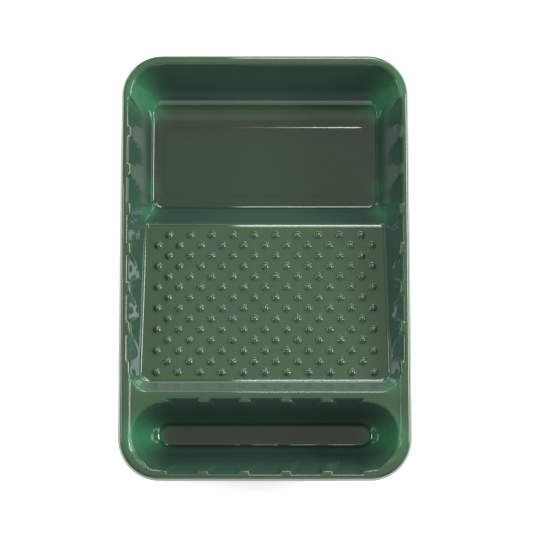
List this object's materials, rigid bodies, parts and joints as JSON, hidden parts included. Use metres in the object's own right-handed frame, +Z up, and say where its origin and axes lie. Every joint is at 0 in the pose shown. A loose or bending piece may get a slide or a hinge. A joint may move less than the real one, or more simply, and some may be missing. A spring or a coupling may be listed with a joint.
{
  "type": "paint roller tray",
  "caption": "Deep-well paint roller tray formed from one plastic sheet, with a bumpy sloping ramp, a brush trough across its high end, fluted side walls and a turned-down rim.",
  "frame": {"origin": "on the floor, under the middle of the tray's outline", "axes": "+X across the tray, +Y from the brush trough towards the deep well, +Z up"},
  "size_m": [0.28, 0.412, 0.07],
  "materials": {
    "green_sheet": "glossy dark green formed sheet, slightly see-through where it has stretched thin"
  },
  "bodies": {
    "root": {"rim": "green_sheet", "well_floor": "green_sheet", "well_step": "green_sheet", "well_back_wall": "green_sheet", "well_left_wall": "green_sheet", "well_right_wall": "green_sheet", "ramp": "green_sheet", "ramp_left_wall": "green_sheet", "ramp_right_wall": "green_sheet", "front_land": "green_sheet", "trough": "green_sheet"}
  },
  "joints": []
}
